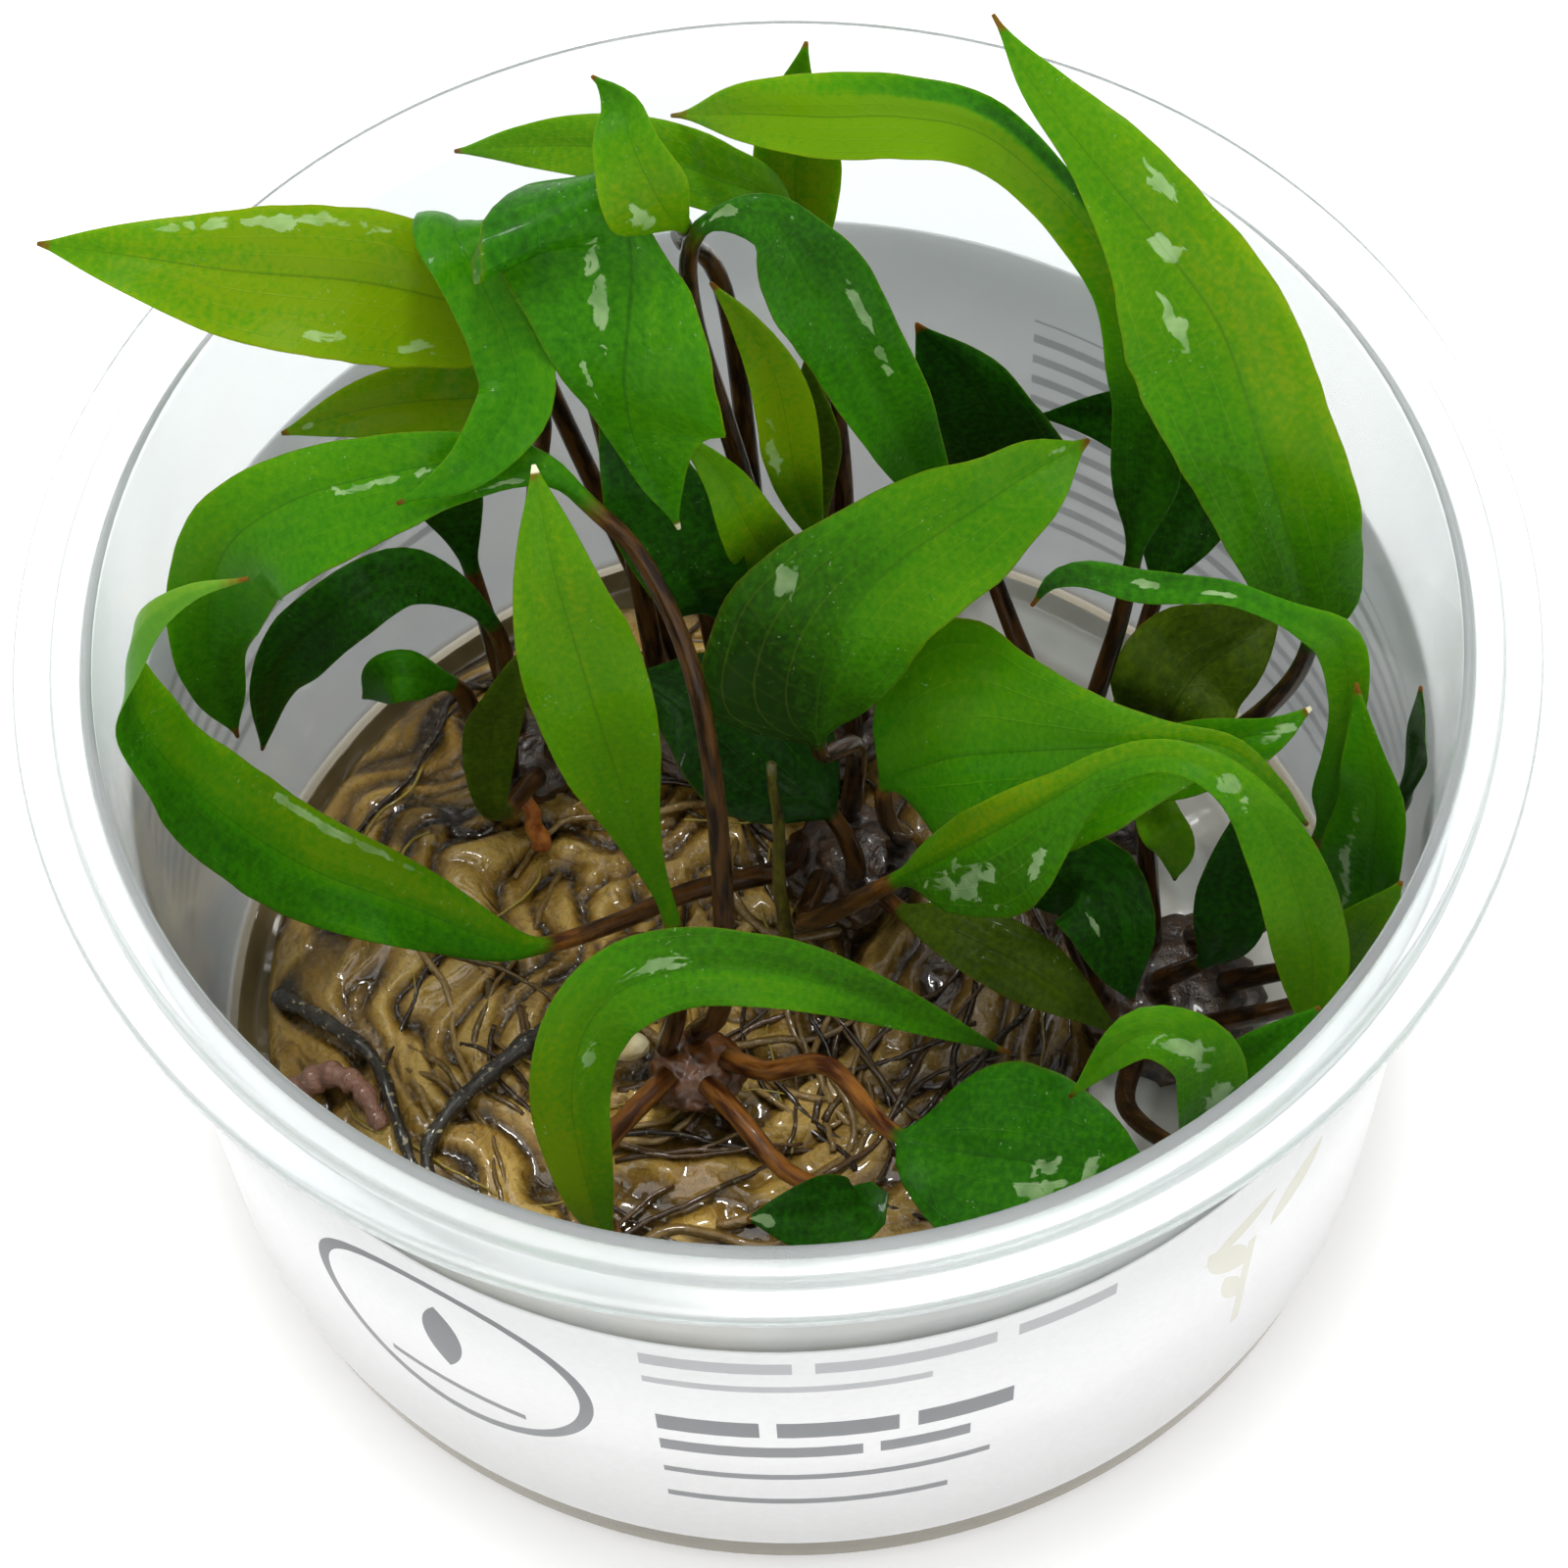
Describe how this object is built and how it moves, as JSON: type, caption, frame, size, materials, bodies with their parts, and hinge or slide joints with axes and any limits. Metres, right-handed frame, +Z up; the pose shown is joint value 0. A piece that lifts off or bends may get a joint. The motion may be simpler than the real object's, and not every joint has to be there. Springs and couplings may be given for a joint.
{
  "type": "aquarium plant in a growing cup",
  "caption": "Clear round growing cup with a stepped rim and a paper band, holding rooted aquarium plantlets whose lance-shaped leaves arch over the rim on long stalks.",
  "frame": {"origin": "centre of the cup's flat base, on the surface that it stands on", "axes": "+Z up along the cup, -Y towards the side of the cup that the picture is taken from, +X to the right in the picture"},
  "size_m": [0.1, 0.1, 0.0875],
  "materials": {
    "clear_plastic": "clear, thin moulded plastic, glossy",
    "label_paper": "white printed paper band, matt",
    "gel": "set growing gel, wet and cloudy",
    "roots": "matted fine roots, wet",
    "crown": "short fleshy stem, reddish",
    "bud": "pale waxy bud",
    "old_sheath": "dead leaf sheath, dry orange brown",
    "leaf_bright": "living leaf, yellow green, wet gloss",
    "leaf_green": "living leaf, mid green, wet gloss",
    "leaf_dark": "living leaf, dark green, wet gloss",
    "leaf_olive": "ageing leaf, olive green"
  },
  "bodies": {
    "root": {"crown_back": "crown", "crown_front": "crown", "crown_left": "crown", "crown_middle": "crown", "crown_right": "crown", "crown_right_back": "crown", "cup": "clear_plastic", "cut_stalk": "leaf_olive", "label": "label_paper", "leaf_arching_right": "leaf_bright", "leaf_back_left": "leaf_bright", "leaf_back_upright": "leaf_bright", "leaf_back_wall": "leaf_dark", "leaf_back_wall_right": "leaf_dark", "leaf_broad_centre": "leaf_bright", "leaf_broad_right": "leaf_green", "leaf_brown_back": "leaf_olive", "leaf_curled_tip": "leaf_bright", "leaf_dark_centre": "leaf_dark", "leaf_dark_folded": "leaf_dark", "leaf_dark_left_back": "leaf_dark", "leaf_drooping_centre": "leaf_green", "leaf_far_left": "leaf_bright", "leaf_folded_top": "leaf_dark", "leaf_front_left": "leaf_green", "leaf_front_loop": "leaf_bright", "leaf_front_low": "leaf_dark", "leaf_front_round": "leaf_dark", "leaf_front_upright": "leaf_bright", "leaf_hanging_strip": "leaf_green", "leaf_left_wide": "leaf_green", "leaf_long_arch": "leaf_green", "leaf_mid_right": "leaf_green", "leaf_olive_low": "leaf_olive", "leaf_olive_right": "leaf_olive", "leaf_olive_strip": "leaf_olive", "leaf_pale_short": "leaf_bright", "leaf_pale_veined": "leaf_bright", "leaf_right_dark_tip": "leaf_dark", "leaf_right_small": "leaf_bright", "leaf_right_wall": "leaf_green", "leaf_rim_strip": "leaf_green", "leaf_shaded_arc": "leaf_dark", "leaf_shaded_back": "leaf_dark", "leaf_shaded_right": "leaf_dark", "leaf_small_curl": "leaf_bright", "leaf_small_left": "leaf_bright", "leaf_small_right": "leaf_bright", "leaf_tall_right": "leaf_bright", "leaf_tiny_curl": "leaf_green", "leaf_twisted_right": "leaf_green", "nutrient_gel": "gel", "old_sheath": "old_sheath", "root_mass": "roots", "white_bud": "bud"}
  },
  "joints": []
}
